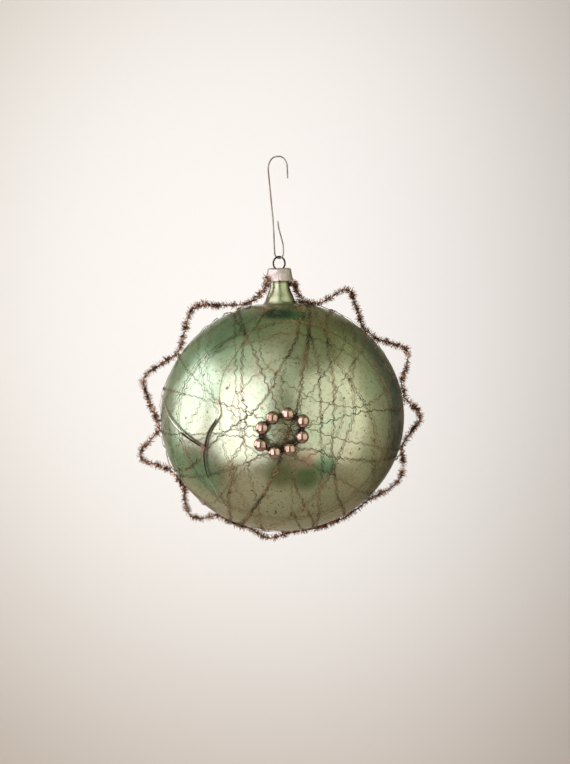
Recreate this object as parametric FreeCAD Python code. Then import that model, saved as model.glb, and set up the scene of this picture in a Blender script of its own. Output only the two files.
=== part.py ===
import FreeCAD, Part
import math
import os
from itertools import repeat

# Wire-wrapped glass ball ornament, hung by a wire hook.
# Lengths are in millimetres. Heights in the dimensions below are above the middle of the ball.
# The finished model has its origin at the hanging point, inside the top of the hook's crook.

# Glass: a blown ball, a little wider than it is high, with an open neck
BALL_WIDTH = 84.0
BALL_HEIGHT = 79.0
GLASS_WALL = 0.7
NECK_BASE_RADIUS = 5.8
NECK_RADIUS = 3.7
NECK_WAIST_DEPTH = 0.3
NECK_STRAIGHT_BASE = 46.5
NECK_RIM = 50.7

# Pressed tin cap over the neck
CAP_TOP = 51.1
CAP_SHOULDER = 50.7
CAP_BOTTOM = 46.5
CAP_TOP_RADIUS = 3.95
CAP_SHOULDER_RADIUS = 4.25
CAP_BOTTOM_RADIUS = 4.65
CAP_SHEET = 0.3
CAP_FACETS = 8
CAP_PLEAT_HALF_ANGLE = 4.0
CAP_PLEAT_BOTTOM = 0.3
CAP_PLEAT_SHOULDER = 0.1
CAP_PLEAT_TOP = 0.05
CAP_NOTCH_RADII = (0.5, 0.35, 0.6, 0.4, 0.55, 0.3, 0.5, 0.45)
CAP_SLOT = 1.3
CAP_SLOT_OFFSET = 1.45

# Spring clip: a ring above the cap and two legs inside the neck
CLIP_WIRE = 0.6
CLIP_YAW = 30.0
CLIP_RING_RADIUS = 2.3
CLIP_RING_CENTRE = CAP_TOP + 1.65
CLIP_RING_END = 40.0
CLIP_NECK_RUN = 0.8
CLIP_LEG_BEND = 4.0
CLIP_BELLY = (2.55, CAP_TOP - 5.5)
CLIP_KNEE = (2.5, CAP_TOP - 12.5)
CLIP_TIP = (1.3, CAP_TOP - 16.5)

# Hanging hook: one wire with a crook at the top and a closed U round the ring
HOOK_WIRE = 0.5
HOOK_YAW = -45.0
HOOK_ABOVE_RING = 34.0
RING_GAP = 0.05
CROOK_RADIUS = 4.8
U_HALF_WIDTH = 2.05
U_BOTTOM = -(CLIP_WIRE + HOOK_WIRE) / 2 - RING_GAP
CROOK_TOP = HOOK_ABOVE_RING + HOOK_WIRE / 2
# each point: across, above the ring's top, largest bend there
HOOK_ROUTE = (
    (-0.3, 12.2, 0.0),
    (0.2, 9.6, 8.0),
    (2.25, 3.8, 8.0),
    (U_HALF_WIDTH, U_BOTTOM, U_HALF_WIDTH),
    (-U_HALF_WIDTH, U_BOTTOM, U_HALF_WIDTH),
    (-2.4, 11.5, 60.0),
    (-CROOK_RADIUS, CROOK_TOP, CROOK_RADIUS),
    (CROOK_RADIUS, CROOK_TOP, CROOK_RADIUS),
    (CROOK_RADIUS + 0.2, CROOK_TOP - 7.5, 0.0),
)

# Tinsel garland: a star of soft tinsel round the ball
TINSEL_RADIUS = 0.9
TINSEL_BEND = 2.5
TINSEL_STAR = (
    (-5.9, 48.1), (-6.4, 44.0), (-8.6, 41.3), (-13.0, 39.4), (-19.5, 38.8), (-29.9, 38.2),
    (-35.3, 23.6), (-47.8, 13.9), (-43.6, -3.0), (-49.6, -12.6), (-38.0, -20.6),
    (-35.0, -25.4), (-33.7, -34.7), (-21.8, -35.6), (-13.0, -39.3), (-5.9, -42.9),
    (2.6, -41.4), (12.4, -39.2), (21.8, -36.1), (29.4, -31.0), (41.4, -23.2),
    (41.8, -12.6), (47.8, -1.7), (42.3, 8.6), (44.0, 22.0), (30.2, 30.4),
    (25.3, 42.4), (20.0, 43.2), (10.6, 40.9), (6.3, 42.9),
)
TINSEL_NECK_TURN = ((5.9, 2.4, 44.0), (3.4, 5.4, 44.2), (-1.2, 6.2, 44.4), (-4.8, 4.6, 44.7))

# Bead rosette on the front: eight round glass beads on an oval ring of wire
BEAD_RADIUS = 2.175
BEAD_BORE_RADIUS = 0.68
ROSETTE_MIDDLE = (-0.3, -1.6)
ROSETTE_LIFT = 1.85
ROSETTE_LONG = 8.3
ROSETTE_SHORT = 6.1
ROSETTE_TILT = 27.0
BEAD_TURNS = (60.0, 92.0, 121.0, 181.0, 238.0, 269.0, 304.0, 3.0)
BEAD_WIRE = 0.25
TIE_RADIUS = 1.5
TIE_WIRE = 0.6
TIE_LIFT = 2.35

# Wrapping wire: closed turns round the ball, each in a plane through three points
# of the ball's front, given as (right of the middle, above the middle). The layer
# counts the turns lying under it, so that turns cross without meeting.
WRAP_WIRE = 0.2
WRAP_FIRST_LIFT = 0.2
WRAP_LAYER = 0.25
WRAPS = {
    "wrap_wire_waist": (0, (-7.3, -2.6), (6.8, -0.6), (39.5, 3.0)),
    "wrap_wire_centre": (1, (10.0, 31.0), (4.4, 3.6), (-12.5, -31.0)),
    "wrap_wire_slant": (2, (27.0, 24.0), (6.8, -0.6), (-5.5, -7.0)),
    "wrap_wire_waist_low": (3, (-4.8, 1.9), (6.8, -0.7), (39.0, -11.0)),
    "wrap_wire_left_slant": (4, (-10.5, 28.0), (-0.4, 4.3), (4.5, -5.3)),
    "wrap_wire_low_right": (5, (-7.3, -2.6), (4.5, -5.3), (38.0, -13.5)),
    "wrap_wire_right_inner": (6, (10.5, 30.0), (12.6, 2.0), (11.5, -33.0)),
    "wrap_wire_right_middle": (6, (15.5, 27.0), (16.8, 4.0), (18.0, -28.0)),
    "wrap_wire_left_inner": (6, (-12.2, 30.0), (-13.3, 3.0), (-17.0, -31.0)),
    "wrap_wire_left_outer": (6, (-25.5, 30.0), (-28.0, 12.0), (-35.0, -12.0)),
    "wrap_wire_right_outer": (7, (25.0, 29.0), (23.5, 8.0), (20.0, -8.0)),
    "wrap_wire_right_low": (8, (16.0, 33.0), (25.5, 11.0), (30.0, -13.0)),
    "wrap_wire_cross": (9, (5.2, 29.0), (-1.9, 17.4), (-11.2, 4.3)),
}

# Flat lametta strands laid over the wires, each along three points of the front
LAMETTA_WIDTH = 0.7
LAMETTA_THICKNESS = 0.12
LAMETTA_LIFT = 2.75
LAMETTA = {
    "lametta_long": ((-6.0, 36.5), (-23.0, 4.5), (-20.0, -29.0)),
    "lametta_short": ((-40.6, 8.5), (-34.0, -2.5), (-27.6, -6.2)),
}
KNOT_RADIUS = 1.0
KNOT_PLACE = (-25.9, -6.9)

BALL_DROP = HOOK_ABOVE_RING + CLIP_RING_CENTRE + CLIP_RING_RADIUS
UP = FreeCAD.Vector(0, 0, 1)
CENTRE = FreeCAD.Vector(0, 0, 0)
OVAL_SHARE = 2 - math.sqrt(2)
RUN_SHARE = 0.49


def vector(x, y, z):
    return FreeCAD.Vector(x, y, z)


def arc(start, middle, end):
    return Part.Arc(start, middle, end).toShape()


def line(start, end):
    return Part.LineSegment(start, end).toShape()


def tangent_route(points, largest_bends):
    """Straight runs between the points, joined by tangent arcs as large as the runs allow."""
    edges = []
    last = points[0]
    for before, corner, after, largest in zip(points, points[1:], points[2:], largest_bends):
        back = before - corner
        ahead = after - corner
        shorter = min(back.Length, ahead.Length)
        turn = math.pi - back.getAngle(ahead)
        bend = min(largest, RUN_SHARE * shorter / math.tan(turn / 2))
        back.normalize()
        ahead.normalize()
        inward = back + ahead
        inward.normalize()
        reach = bend * math.tan(turn / 2)
        start = corner + back * reach
        end = corner + ahead * reach
        middle = corner + inward * (bend / math.cos(turn / 2) - bend)
        edges.append(line(last, start))
        edges.append(arc(start, middle, end))
        last = end
    edges.append(line(last, points[-1]))
    return Part.Wire(edges)


def swept(route, profile_edges):
    """A solid with the given profile all along a route."""
    pipe = route.makePipeShell([Part.Wire(profile_edges)], True, True)
    return pipe.Solids[0]


def round_tube(route, diameter):
    """A round wire along a route."""
    first = route.OrderedEdges[0]
    start = first.valueAt(first.FirstParameter)
    along = first.tangentAt(first.FirstParameter)
    ring = Part.makeCircle(diameter / 2, start, along)
    tube = swept(route, [ring])
    expected = math.pi * (diameter / 2) ** 2 * route.Length
    print("   tube volume over expected: %.4f" % (tube.Volume / expected))
    return tube


def oval_point(long_half, short_half, turn):
    """The point of a four-arc oval where its outward normal makes this angle with its long axis."""
    shift = (long_half - short_half) / OVAL_SHARE
    radians = math.radians(turn)
    across = math.cos(radians)
    up = math.sin(radians)
    if abs(across) >= abs(up):
        return (math.copysign(shift, across) + (long_half - shift) * across, (long_half - shift) * up)
    return ((short_half + shift) * across, -math.copysign(shift, up) + (short_half + shift) * up)


def oval(middle, long_axis, short_axis, long_half, short_half):
    """A closed four-arc oval, close to the ellipse with the same half-axes."""
    def at(turn):
        along, across = oval_point(long_half, short_half, turn)
        return middle + long_axis * along + short_axis * across

    turns = (-45.0, 45.0, 135.0, 225.0)
    return Part.Wire([arc(at(turn), at(turn + 45.0), at(turn + 90.0)) for turn in turns])


def ball_halves(lift):
    """Half the width and half the height of the ball's outside, or of a surface lifted off it."""
    return BALL_WIDTH / 2 + lift, BALL_HEIGHT / 2 + lift


def front_point(right, height, lift):
    """The point of the lifted surface's front at this distance right of and above the middle."""
    half_width, half_height = ball_halves(lift)
    depth = half_width * math.sqrt(1 - (right / half_width) ** 2 - (height / half_height) ** 2)
    return vector(right, -depth, height)


def outward(point):
    """The direction straight out of the ball at a point of its surface."""
    half_width, half_height = ball_halves(0.0)
    normal = vector(point.x / half_width ** 2, point.y / half_width ** 2, point.z / half_height ** 2)
    normal.normalize()
    return normal


def glass_ball():
    half_width, half_height = ball_halves(0.0)
    shift = (half_width - half_height) / OVAL_SHARE

    def at(turn, lift):
        along, up = oval_point(half_width + lift, half_height + lift, turn)
        return vector(along, 0, up)

    def neck_meeting(radius, lift):
        polar_radius = half_height + lift + shift
        return vector(radius, 0, math.sqrt(polar_radius ** 2 - radius ** 2) - shift)

    def skin(lift):
        radius = NECK_RADIUS + lift
        base = neck_meeting(NECK_BASE_RADIUS + lift, lift)
        polar_turn = math.degrees(math.atan2(base.z + shift, base.x))
        waist = vector((base.x + radius) / 2 - NECK_WAIST_DEPTH, 0, (base.z + NECK_STRAIGHT_BASE) / 2)
        neck = vector(radius, 0, NECK_STRAIGHT_BASE)
        return [
            arc(at(-90, lift), at(-67.5, lift), at(-45, lift)),
            arc(at(-45, lift), at(0, lift), at(45, lift)),
            arc(at(45, lift), at((45 + polar_turn) / 2, lift), base),
            arc(base, waist, neck),
            line(neck, vector(radius, 0, NECK_RIM)),
        ]

    rim = line(vector(NECK_RADIUS, 0, NECK_RIM), vector(NECK_RADIUS - GLASS_WALL, 0, NECK_RIM))
    bottom = line(at(-90, 0.0), at(-90, -GLASS_WALL))
    outline = Part.Wire(Part.__sortEdges__(skin(0.0) + [rim] + skin(-GLASS_WALL) + [bottom]))
    return Part.Face(outline).revolve(CENTRE, UP, 360)


def fluted_ring(radius, pleat, height):
    """One level of the cap: broad facets with a narrow pleat between neighbours."""
    facet = 360.0 / CAP_FACETS

    def at(distance, angle):
        radians = math.radians(angle)
        return vector(distance * math.cos(radians), distance * math.sin(radians), height)

    edges = []
    for index in range(CAP_FACETS):
        start = index * facet + CAP_PLEAT_HALF_ANGLE
        end = (index + 1) * facet - CAP_PLEAT_HALF_ANGLE
        groove = at(radius - pleat, (index + 1) * facet)
        edges.append(arc(at(radius, start), at(radius, (start + end) / 2), at(radius, end)))
        edges.append(line(at(radius, end), groove))
        edges.append(line(groove, at(radius, end + 2 * CAP_PLEAT_HALF_ANGLE)))
    return Part.Wire(edges)


def cap():
    outside = Part.makeLoft([
        fluted_ring(CAP_BOTTOM_RADIUS, CAP_PLEAT_BOTTOM, CAP_BOTTOM),
        fluted_ring(CAP_SHOULDER_RADIUS, CAP_PLEAT_SHOULDER, CAP_SHOULDER),
        fluted_ring(CAP_TOP_RADIUS, CAP_PLEAT_TOP, CAP_TOP),
    ], True, True)
    inside = Part.makeLoft([
        fluted_ring(CAP_BOTTOM_RADIUS - CAP_SHEET, CAP_PLEAT_BOTTOM, CAP_BOTTOM),
        fluted_ring(CAP_SHOULDER_RADIUS - CAP_SHEET, CAP_PLEAT_SHOULDER, CAP_TOP - CAP_SHEET),
    ], True, True)
    shell = outside.cut(inside)
    for index, radius in enumerate(CAP_NOTCH_RADII):
        angle = math.radians((index + 1) * 360.0 / CAP_FACETS)
        direction = vector(math.cos(angle), math.sin(angle), 0)
        notch = Part.makeCylinder(radius, CAP_BOTTOM_RADIUS + 1, vector(0, 0, CAP_BOTTOM), direction)
        shell = shell.cut(notch)
    for side in (-1, 1):
        slot = Part.makeBox(CAP_SLOT, CAP_SLOT, 4 * CAP_SHEET)
        slot.translate(vector(side * CAP_SLOT_OFFSET - CAP_SLOT / 2, -CAP_SLOT / 2, CAP_TOP - 3 * CAP_SHEET))
        slot.rotate(CENTRE, UP, CLIP_YAW)
        shell = shell.cut(slot)
    return shell.Solids[0]


def clip():
    """A leg, over the ring and down the other leg, in the plane y = 0, then turned to its yaw."""
    ring_end = math.radians(CLIP_RING_END)
    across = CLIP_RING_RADIUS * math.cos(ring_end)
    height = CLIP_RING_CENTRE - CLIP_RING_RADIUS * math.sin(ring_end)
    waist = (across - CLIP_NECK_RUN * math.sin(ring_end), height - CLIP_NECK_RUN * math.cos(ring_end))
    leg = [CLIP_TIP, CLIP_KNEE, CLIP_BELLY, waist, (across, height)]
    left = tangent_route([vector(-out, 0, up) for out, up in leg], repeat(CLIP_LEG_BEND))
    right = tangent_route([vector(out, 0, up) for out, up in reversed(leg)], repeat(CLIP_LEG_BEND))
    top = vector(0, 0, CLIP_RING_CENTRE + CLIP_RING_RADIUS)
    ring = arc(vector(-across, 0, height), top, vector(across, 0, height))
    tube = round_tube(Part.Wire(left.OrderedEdges + [ring] + right.OrderedEdges), CLIP_WIRE)
    tube.rotate(CENTRE, UP, CLIP_YAW)
    return tube


def hanging_hook():
    """From the tail's end round the U under the ring, up the shank and over the crook."""
    ring_top = CLIP_RING_CENTRE + CLIP_RING_RADIUS
    points = [vector(across, 0, ring_top + up) for across, up, bend in HOOK_ROUTE]
    bends = [bend for across, up, bend in HOOK_ROUTE[1:-1]]
    tube = round_tube(tangent_route(points, bends), HOOK_WIRE)
    tube.rotate(CENTRE, UP, HOOK_YAW)
    return tube


def tinsel_garland():
    """The star in the plane y = 0, then once round the back of the neck."""
    points = [vector(x, 0, z) for x, z in TINSEL_STAR] + [vector(*place) for place in TINSEL_NECK_TURN]
    return round_tube(tangent_route(points, repeat(TINSEL_BEND)), 2 * TINSEL_RADIUS)


def rosette_axes():
    """The glass point under the rosette's middle, the way out of it, and the oval's two axes."""
    foot = front_point(ROSETTE_MIDDLE[0], ROSETTE_MIDDLE[1], 0.0)
    out = outward(foot)
    right = UP.cross(out)
    right.normalize()
    up = out.cross(right)
    tilt = math.radians(ROSETTE_TILT)
    long_axis = right * math.cos(tilt) + up * math.sin(tilt)
    return foot, out, long_axis, out.cross(long_axis)


def bead(turn):
    """A round bead threaded on the rosette's oval, with its bore along the wire."""
    foot, out, long_axis, short_axis = rosette_axes()
    along, across = oval_point(ROSETTE_LONG, ROSETTE_SHORT, turn)
    middle = foot + out * ROSETTE_LIFT + long_axis * along + short_axis * across
    radians = math.radians(turn)
    thread = short_axis * math.cos(radians) - long_axis * math.sin(radians)
    mouth = math.sqrt(BEAD_RADIUS ** 2 - BEAD_BORE_RADIUS ** 2)
    top = vector(BEAD_BORE_RADIUS, 0, mouth)
    bottom = vector(BEAD_BORE_RADIUS, 0, -mouth)
    outline = Part.Wire([arc(top, vector(BEAD_RADIUS, 0, 0), bottom), line(bottom, top)])
    threaded = Part.Face(outline).revolve(CENTRE, UP, 360)
    threaded.Placement = FreeCAD.Placement(middle, FreeCAD.Rotation(UP, thread))
    return threaded


def bead_wire():
    foot, out, long_axis, short_axis = rosette_axes()
    middle = foot + out * ROSETTE_LIFT
    return round_tube(oval(middle, long_axis, short_axis, ROSETTE_LONG, ROSETTE_SHORT), BEAD_WIRE)


def rosette_tie():
    """The twist of wire that binds the rosette's middle, as one plain ring."""
    foot, out, long_axis, short_axis = rosette_axes()
    return Part.makeTorus(TIE_RADIUS, TIE_WIRE / 2, foot + out * TIE_LIFT, out)


def wrap_wire(layer, *places):
    """One closed turn of wire, in the plane through three points of the ball's front."""
    lift = WRAP_FIRST_LIFT + layer * WRAP_LAYER
    first, second, third = [front_point(right, height, lift) for right, height in places]
    normal = (second - first).cross(third - first)
    normal.normalize()
    offset = normal.dot(first)
    width, height = ball_halves(lift)
    flat = math.hypot(normal.x, normal.y)
    reach = math.hypot(width * flat, height * normal.z)
    middle = vector(width ** 2 * normal.x, width ** 2 * normal.y, height ** 2 * normal.z)
    middle = middle * (offset / reach ** 2)
    share = math.sqrt(1 - (offset / reach) ** 2)
    level = UP.cross(normal)
    level.normalize()
    steep = normal.cross(level)
    return round_tube(oval(middle, level, steep, width * share, width * height / reach * share), WRAP_WIRE)


def lametta(places):
    """A flat strand along the arc through three points of the ball's front."""
    first, second, third = [front_point(right, height, LAMETTA_LIFT) for right, height in places]
    route = Part.Wire([arc(first, second, third)])
    wide = (second - first).cross(third - first)
    wide.normalize()
    start = route.Edges[0]
    along = start.tangentAt(start.FirstParameter)
    thick = along.cross(wide)
    half_width = wide * (LAMETTA_WIDTH / 2)
    half_thickness = thick * (LAMETTA_THICKNESS / 2)
    corners = [
        first + half_width + half_thickness,
        first - half_width + half_thickness,
        first - half_width - half_thickness,
        first + half_width - half_thickness,
    ]
    sides = [line(corner, following) for corner, following in zip(corners, corners[1:] + corners[:1])]
    return swept(route, sides)


def strand_knot():
    return Part.makeSphere(KNOT_RADIUS, front_point(KNOT_PLACE[0], KNOT_PLACE[1], LAMETTA_LIFT))


def save(name, shape):
    """Move a piece from the ball's middle to the hanging point's frame and write it."""
    shape.translate(vector(0, 0, -BALL_DROP))
    solid = shape.Solids[0]
    print("%-24s valid %s  %9.3f mm3" % (name, solid.isValid(), solid.Volume))
    solid.exportStep("parts/%s.step" % name)


os.makedirs("parts", exist_ok=True)
save("glass_ball", glass_ball())
save("cap", cap())
save("clip", clip())
save("hanging_hook", hanging_hook())
save("tinsel_garland", tinsel_garland())
for number, turn in enumerate(BEAD_TURNS, start=1):
    save("bead_%d" % number, bead(turn))
save("bead_wire", bead_wire())
save("rosette_tie", rosette_tie())
for name, (layer, *places) in WRAPS.items():
    save(name, wrap_wire(layer, *places))
for name, places in LAMETTA.items():
    save(name, lametta(places))
save("strand_knot", strand_knot())
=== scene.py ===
import bpy
import math
import random
import numpy as np
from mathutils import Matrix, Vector, noise


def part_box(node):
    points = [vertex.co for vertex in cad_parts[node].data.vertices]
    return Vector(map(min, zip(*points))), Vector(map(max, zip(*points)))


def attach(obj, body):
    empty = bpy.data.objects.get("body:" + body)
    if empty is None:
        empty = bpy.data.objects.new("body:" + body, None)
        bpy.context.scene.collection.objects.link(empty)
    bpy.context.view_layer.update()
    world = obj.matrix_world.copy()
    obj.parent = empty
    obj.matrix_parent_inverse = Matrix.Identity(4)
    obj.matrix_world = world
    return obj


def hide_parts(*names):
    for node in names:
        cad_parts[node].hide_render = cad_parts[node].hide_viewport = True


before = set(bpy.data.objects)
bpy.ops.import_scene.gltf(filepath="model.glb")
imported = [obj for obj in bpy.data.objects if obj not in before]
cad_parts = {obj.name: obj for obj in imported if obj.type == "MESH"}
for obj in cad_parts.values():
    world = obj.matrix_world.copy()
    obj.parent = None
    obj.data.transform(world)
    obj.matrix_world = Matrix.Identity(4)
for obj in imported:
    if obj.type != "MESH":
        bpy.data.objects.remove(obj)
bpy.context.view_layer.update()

# ---------------------------------------------------------------- sizes, in metres
MM = 0.001
ball_low, ball_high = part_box("glass_ball")
HALF_WIDTH = (ball_high.x - ball_low.x) / 2
HALF_HEIGHT = HALF_WIDTH * 39.5 / 42.0
CENTRE = Vector((0, 0, ball_low.z + HALF_HEIGHT))
NECK_RIM = ball_high.z - CENTRE.z
cap_low, cap_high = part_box("cap")
CAP_BOTTOM = cap_low.z - CENTRE.z
CAP_TOP = cap_high.z - CENTRE.z
CAP_RADIUS = (cap_high.x - cap_low.x) / 2
GLASS_WALL = 0.7 * MM
NECK_WALL = 0.55 * MM
WIRE_RADIUS = 0.070 * MM
WIRE_SPACING = 0.16 * MM
CRINKLE_AMPLITUDE = 0.66 * MM
CRINKLE_PERIOD = 2.7 * MM
# where the wires pass the foot of the neck
NECK_CLEARANCE = 6.7 * MM
FLARE_RADIUS = 8.4 * MM
FLARE_RISE = 0.1 * MM


# ---------------------------------------------------------------- mesh helpers
def new_object(name, vertices, faces, material, smooth=True):
    """A mesh object in the scene, with one material."""
    mesh = bpy.data.meshes.new(name)
    mesh.from_pydata([tuple(v) for v in vertices], [], faces)
    mesh.validate()
    mesh.polygons.foreach_set("use_smooth", [smooth] * len(mesh.polygons))
    mesh.update()
    piece = bpy.data.objects.new(name, mesh)
    bpy.context.scene.collection.objects.link(piece)
    mesh.materials.append(material)
    return piece


def add_piece(name, vertices, faces, material, slot, nodes, body="ball", smooth=True):
    """A mesh piece, made round the ball's middle, that rides on a body and stands for CAD nodes."""
    piece = new_object(name, [Vector(v) + CENTRE for v in vertices], faces, material, smooth)
    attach(piece, body)
    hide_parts(*nodes)
    return piece


def join_parts(parts):
    """Several (vertices, faces) as one."""
    vertices, faces = [], []
    for part_vertices, part_faces in parts:
        base = len(vertices)
        vertices.extend(part_vertices)
        faces.extend(tuple(base + i for i in face) for face in part_faces)
    return vertices, faces


def grid_faces(rows, columns, close_rows=False):
    """Quads of a grid of rows, each a closed ring of columns vertices."""
    faces = []
    for row in range(rows if close_rows else rows - 1):
        after = (row + 1) % rows
        for column in range(columns):
            beside = (column + 1) % columns
            faces.append((row * columns + column, row * columns + beside,
                          after * columns + beside, after * columns + column))
    return faces


def unit(vectors):
    return vectors / np.maximum(np.linalg.norm(vectors, axis=-1, keepdims=True), 1e-12)


def smooth_line(points, step, closed=False):
    """A Catmull-Rom line through the points, in points about one step apart."""
    points = np.array(points, float)
    count = len(points)
    line = []
    for i in range(count if closed else count - 1):
        if closed:
            a, b, c, d = (points[(i + k) % count] for k in (-1, 0, 1, 2))
        else:
            a, b, c, d = (points[min(max(i + k, 0), count - 1)] for k in (-1, 0, 1, 2))
        steps = max(2, int(np.linalg.norm(c - b) / step))
        for t in np.arange(steps) / steps:
            line.append(0.5 * (2 * b + (c - a) * t + (2 * a - 5 * b + 4 * c - d) * t * t
                               + (3 * b - a - 3 * c + d) * t ** 3))
    if not closed:
        line.append(points[-1])
    return np.array(line)


def tangents(line, closed):
    if closed:
        return unit(np.roll(line, -1, axis=0) - np.roll(line, 1, axis=0))
    return unit(np.gradient(line, axis=0))


def carried_frames(line, closed=False):
    """Two directions across the line at each point, carried along it without twist."""
    along = tangents(line, closed)
    side = np.array([0.0, 0.0, 1.0]) if abs(along[0][2]) < 0.9 else np.array([1.0, 0.0, 0.0])
    first = np.zeros_like(line)
    for i, direction in enumerate(along):
        side = unit(side - direction * (side @ direction))
        first[i] = side
    return first, np.cross(along, first)


TUBE_SIDES = 6


def tube(line, radius, closed=False):
    """(vertices, faces) of a round tube; radius is a number or one per point."""
    first, second = carried_frames(line, closed)
    radii = np.broadcast_to(np.asarray(radius, float), (len(line),))[:, None, None]
    turns = np.linspace(0, 2 * math.pi, TUBE_SIDES, endpoint=False)[None, :, None]
    rings = line[:, None, :] + radii * (np.cos(turns) * first[:, None, :]
                                        + np.sin(turns) * second[:, None, :])
    faces = grid_faces(len(line), TUBE_SIDES, close_rows=closed)
    if not closed:
        faces.append(tuple(reversed(range(TUBE_SIDES))))
        faces.append(tuple(range((len(line) - 1) * TUBE_SIDES, len(line) * TUBE_SIDES)))
    return [tuple(v) for v in rings.reshape(-1, 3)], faces


def lathe(profile, columns, shape=None):
    """(vertices, faces) of a profile of (radius, height) turned round the z axis.
    A radius of zero makes a pole. shape moves a vertex, given its angle, radius and height."""
    vertices, faces, rows = [], [], []
    for radius, height in profile:
        if radius <= 0:
            rows.append([len(vertices)] * columns)
            vertices.append((0.0, 0.0, height))
            continue
        rows.append(list(range(len(vertices), len(vertices) + columns)))
        for column in range(columns):
            angle = 2 * math.pi * column / columns
            r, h = shape(angle, radius, height) if shape else (radius, height)
            vertices.append((r * math.cos(angle), r * math.sin(angle), h))
    for lower, upper in zip(rows, rows[1:]):
        for column in range(columns):
            beside = (column + 1) % columns
            corners = (lower[column], lower[beside], upper[beside], upper[column])
            faces.append(tuple(dict.fromkeys(corners)))
    return vertices, [face for face in faces if len(face) > 2]


# ---------------------------------------------------------------- material helpers
GLASS_IOR = 1.45


class Nodes:
    """A node material under construction: numbers and colours go in as plain values."""

    def __init__(self, name):
        self.material = bpy.data.materials.new(name)
        self.material.use_nodes = True
        self.tree = self.material.node_tree
        self.shader = self.tree.nodes["Principled BSDF"]
        self.place = self.tree.nodes.new("ShaderNodeTexCoord").outputs["Object"]

    def plug(self, socket, value):
        if isinstance(value, bpy.types.NodeSocket):
            self.tree.links.new(value, socket)
        elif isinstance(value, tuple) and len(value) == 3 and socket.type == "RGBA":
            socket.default_value = (*value, 1.0)
        else:
            socket.default_value = value

    def noise(self, scale, detail=3.0, roughness=0.55, distortion=0.0, place=None):
        node = self.tree.nodes.new("ShaderNodeTexNoise")
        self.plug(node.inputs["Vector"], place or self.place)
        for name, value in (("Scale", scale), ("Detail", detail), ("Roughness", roughness),
                            ("Distortion", distortion)):
            node.inputs[name].default_value = value
        return node.outputs["Fac"]

    def cells(self, scale, place, output="Distance"):
        node = self.tree.nodes.new("ShaderNodeTexVoronoi")
        self.plug(node.inputs["Vector"], place)
        node.inputs["Scale"].default_value = scale
        return node.outputs[output]

    def ramp(self, value, low, high, to_low=0.0, to_high=1.0):
        node = self.tree.nodes.new("ShaderNodeMapRange")
        node.interpolation_type = "SMOOTHSTEP"
        for name, number in (("Value", value), ("From Min", low), ("From Max", high),
                             ("To Min", to_low), ("To Max", to_high)):
            self.plug(node.inputs[name], number)
        return node.outputs["Result"]

    def maths(self, operation, first, second=0.0):
        node = self.tree.nodes.new("ShaderNodeMath")
        node.operation = operation
        self.plug(node.inputs[0], first)
        self.plug(node.inputs[1], second)
        return node.outputs["Value"]

    def mix(self, share, first, second):
        node = self.tree.nodes.new("ShaderNodeMix")
        node.data_type = "RGBA"
        self.plug(node.inputs["Factor"], share)
        self.plug(node.inputs["A"], first)
        self.plug(node.inputs["B"], second)
        return next(o for o in node.outputs if o.type == "RGBA")

    def stretched(self, x, y, z):
        node = self.tree.nodes.new("ShaderNodeMapping")
        self.plug(node.inputs["Vector"], self.place)
        node.inputs["Scale"].default_value = (x, y, z)
        return node.outputs["Vector"]

    def wobbled(self, distance, scale):
        """The place, pushed about by noise, so that round cells come out ragged."""
        node = self.tree.nodes.new("ShaderNodeTexNoise")
        self.plug(node.inputs["Vector"], self.place)
        node.inputs["Scale"].default_value = scale
        push = self.tree.nodes.new("ShaderNodeVectorMath")
        push.operation = "MULTIPLY_ADD"
        self.plug(push.inputs[0], node.outputs["Color"])
        push.inputs[1].default_value = (distance, distance, distance)
        self.plug(push.inputs[2], self.place)
        return push.outputs["Vector"]

    def distance(self, point):
        """How far each place of the object is from a point."""
        node = self.tree.nodes.new("ShaderNodeVectorMath")
        node.operation = "DISTANCE"
        self.plug(node.inputs[0], self.place)
        node.inputs[1].default_value = tuple(point)
        return node.outputs["Value"]

    def near(self, point, reach):
        """1 at a point of the object, falling to 0 at the given distance from it."""
        return self.ramp(self.distance(point), 0.25 * reach, reach, 1.0, 0.0)

    def height(self, low, high):
        """0 below one height of the object and 1 above another."""
        node = self.tree.nodes.new("ShaderNodeSeparateXYZ")
        self.plug(node.inputs["Vector"], self.place)
        return self.ramp(node.outputs["Z"], low, high)

    def bump(self, height, strength, distance):
        node = self.tree.nodes.new("ShaderNodeBump")
        node.inputs["Strength"].default_value = strength
        node.inputs["Distance"].default_value = distance
        self.plug(node.inputs["Height"], height)
        self.plug(self.shader.inputs["Normal"], node.outputs["Normal"])

    def finish(self, colour, roughness, metallic, coat=0.0, coat_roughness=0.1):
        for name, value in (("Base Color", colour), ("Roughness", roughness), ("Metallic", metallic),
                            ("Coat Weight", coat), ("Coat Roughness", coat_roughness), ("IOR", GLASS_IOR)):
            self.plug(self.shader.inputs[name], value)
        return self.material


def front_point(right, above, lift=0.0):
    """A point of the ball's front, in millimetres right of and above its middle, lifted off the glass."""
    width, height = HALF_WIDTH + lift, HALF_HEIGHT + lift
    x, z = right * MM / width, above * MM / height
    return Vector((x * width, -width * math.sqrt(max(0.0, 1 - x * x - z * z)), z * height))


KNOT_FOOT = front_point(-25.9, -6.9)


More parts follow.
